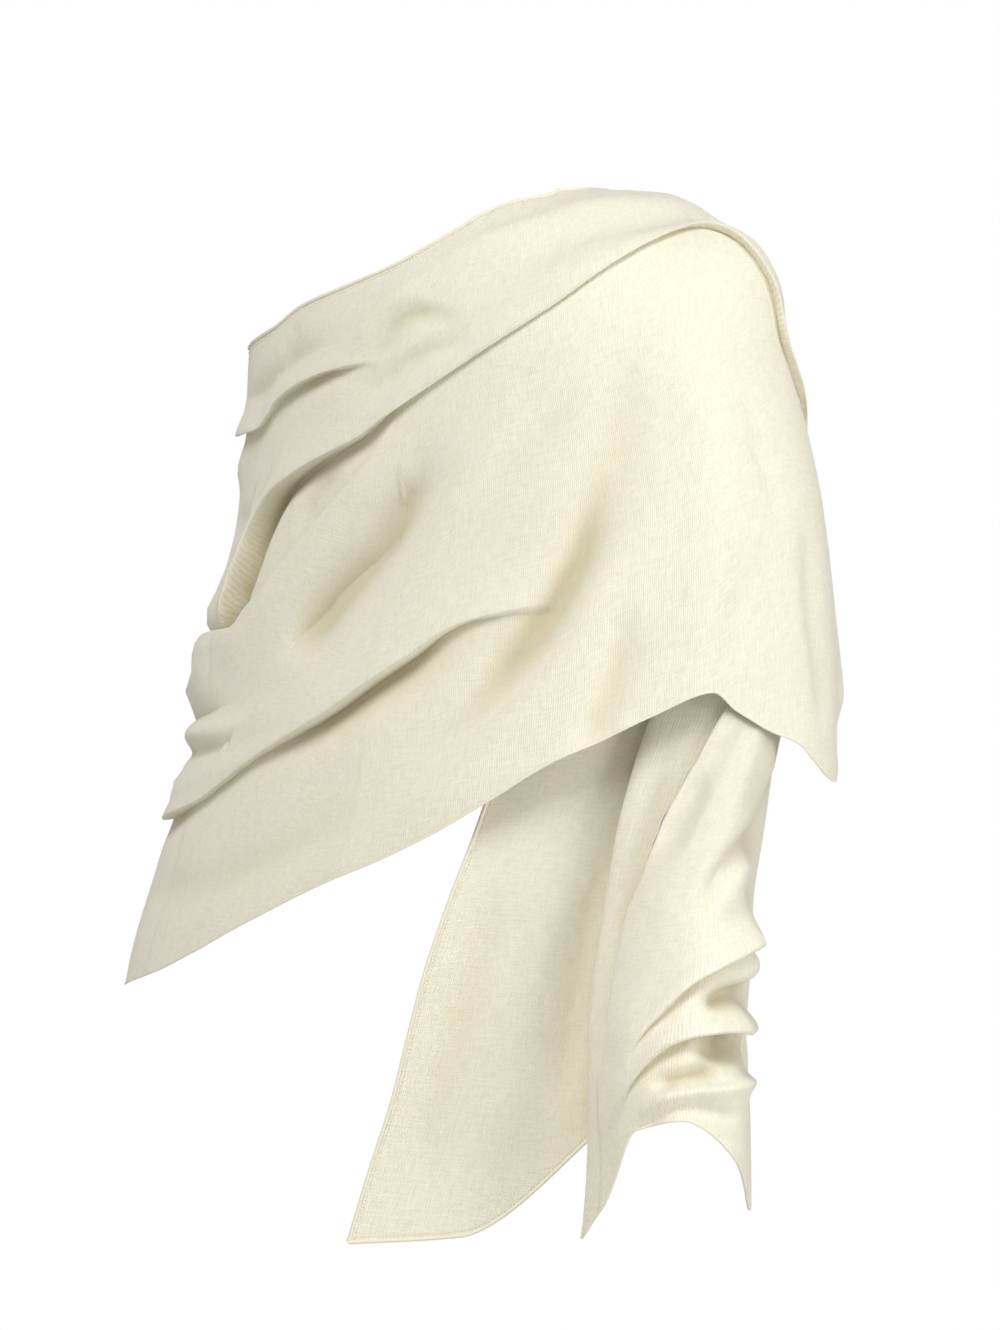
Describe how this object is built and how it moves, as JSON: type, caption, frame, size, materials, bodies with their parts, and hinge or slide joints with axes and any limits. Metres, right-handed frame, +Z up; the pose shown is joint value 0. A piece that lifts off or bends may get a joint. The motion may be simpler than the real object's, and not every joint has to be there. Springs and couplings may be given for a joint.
{
  "type": "cashmere shawl",
  "caption": "Fine cloth shawl worn off the shoulder, wound round the body with a draped front, a thrown end over the left shoulder, a sleeve-like wrap and a hanging hemmed tail.",
  "frame": {"origin": "top of the wearer's left shoulder, just under the cloth, where the shawl hangs from it", "axes": "+Z up, the wearer faces -Y and the wearer's left side is +X"},
  "size_m": [0.4569, 0.2818, 0.627],
  "materials": {
    "shawl_cloth": "soft matte woven cashmere, ivory"
  },
  "bodies": {
    "root": {"front_drape": "shawl_cloth", "right_arm_wrap": "shawl_cloth", "back_drape": "shawl_cloth", "shoulder_fall": "shawl_cloth", "left_arm_wrap": "shawl_cloth", "front_tail": "shawl_cloth"}
  },
  "joints": []
}
